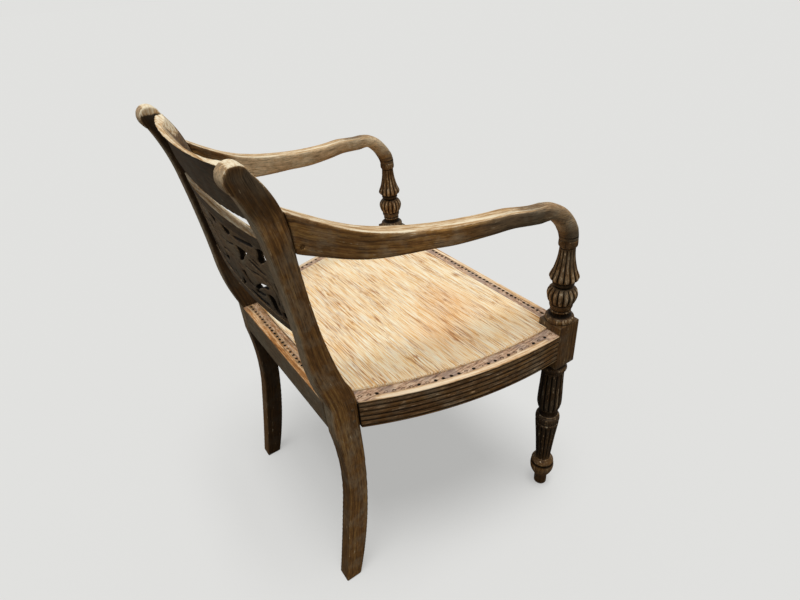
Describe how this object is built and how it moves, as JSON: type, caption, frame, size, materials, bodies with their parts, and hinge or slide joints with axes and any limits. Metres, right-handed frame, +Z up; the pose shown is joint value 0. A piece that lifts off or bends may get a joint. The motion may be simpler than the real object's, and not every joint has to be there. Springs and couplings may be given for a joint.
{
  "type": "open armchair",
  "caption": "Wooden armchair with a plank seat, a pierced bowed back, swept arms, turned and reeded front legs and sabre rear legs.",
  "frame": {"origin": "on the floor, under the middle of the bounding box", "axes": "+Z up, the chair faces -Y, +X towards the sitter's left"},
  "size_m": [0.5922, 0.5362, 0.836],
  "materials": {
    "frame_wood": "worn, waxed, grey-brown with pale rubbed tops",
    "panel_wood": "dark, dull, carved",
    "board_wood": "bare, worn pale, with rough open grain",
    "cleat_wood": "bare, sawn",
    "screw_steel": "dull"
  },
  "bodies": {
    "root": {"front_leg_right": "frame_wood", "front_leg_left": "frame_wood", "rear_post_right": "frame_wood", "rear_post_left": "frame_wood", "arm_right": "frame_wood", "arm_left": "frame_wood", "crest_rail": "frame_wood", "back_mid_rail": "frame_wood", "back_lower_rail": "frame_wood", "rear_seat_rail": "frame_wood", "front_seat_rail": "frame_wood", "side_seat_rail_right": "frame_wood", "side_seat_rail_left": "frame_wood", "side_rail_pegs": "frame_wood", "arm_pins": "frame_wood", "pierced_back_panel": "panel_wood", "seat_board": "board_wood", "front_seat_cleat": "cleat_wood", "rear_seat_cleat": "cleat_wood", "seat_cleat_screws": "screw_steel", "seat_board_screws": "screw_steel"}
  },
  "joints": []
}
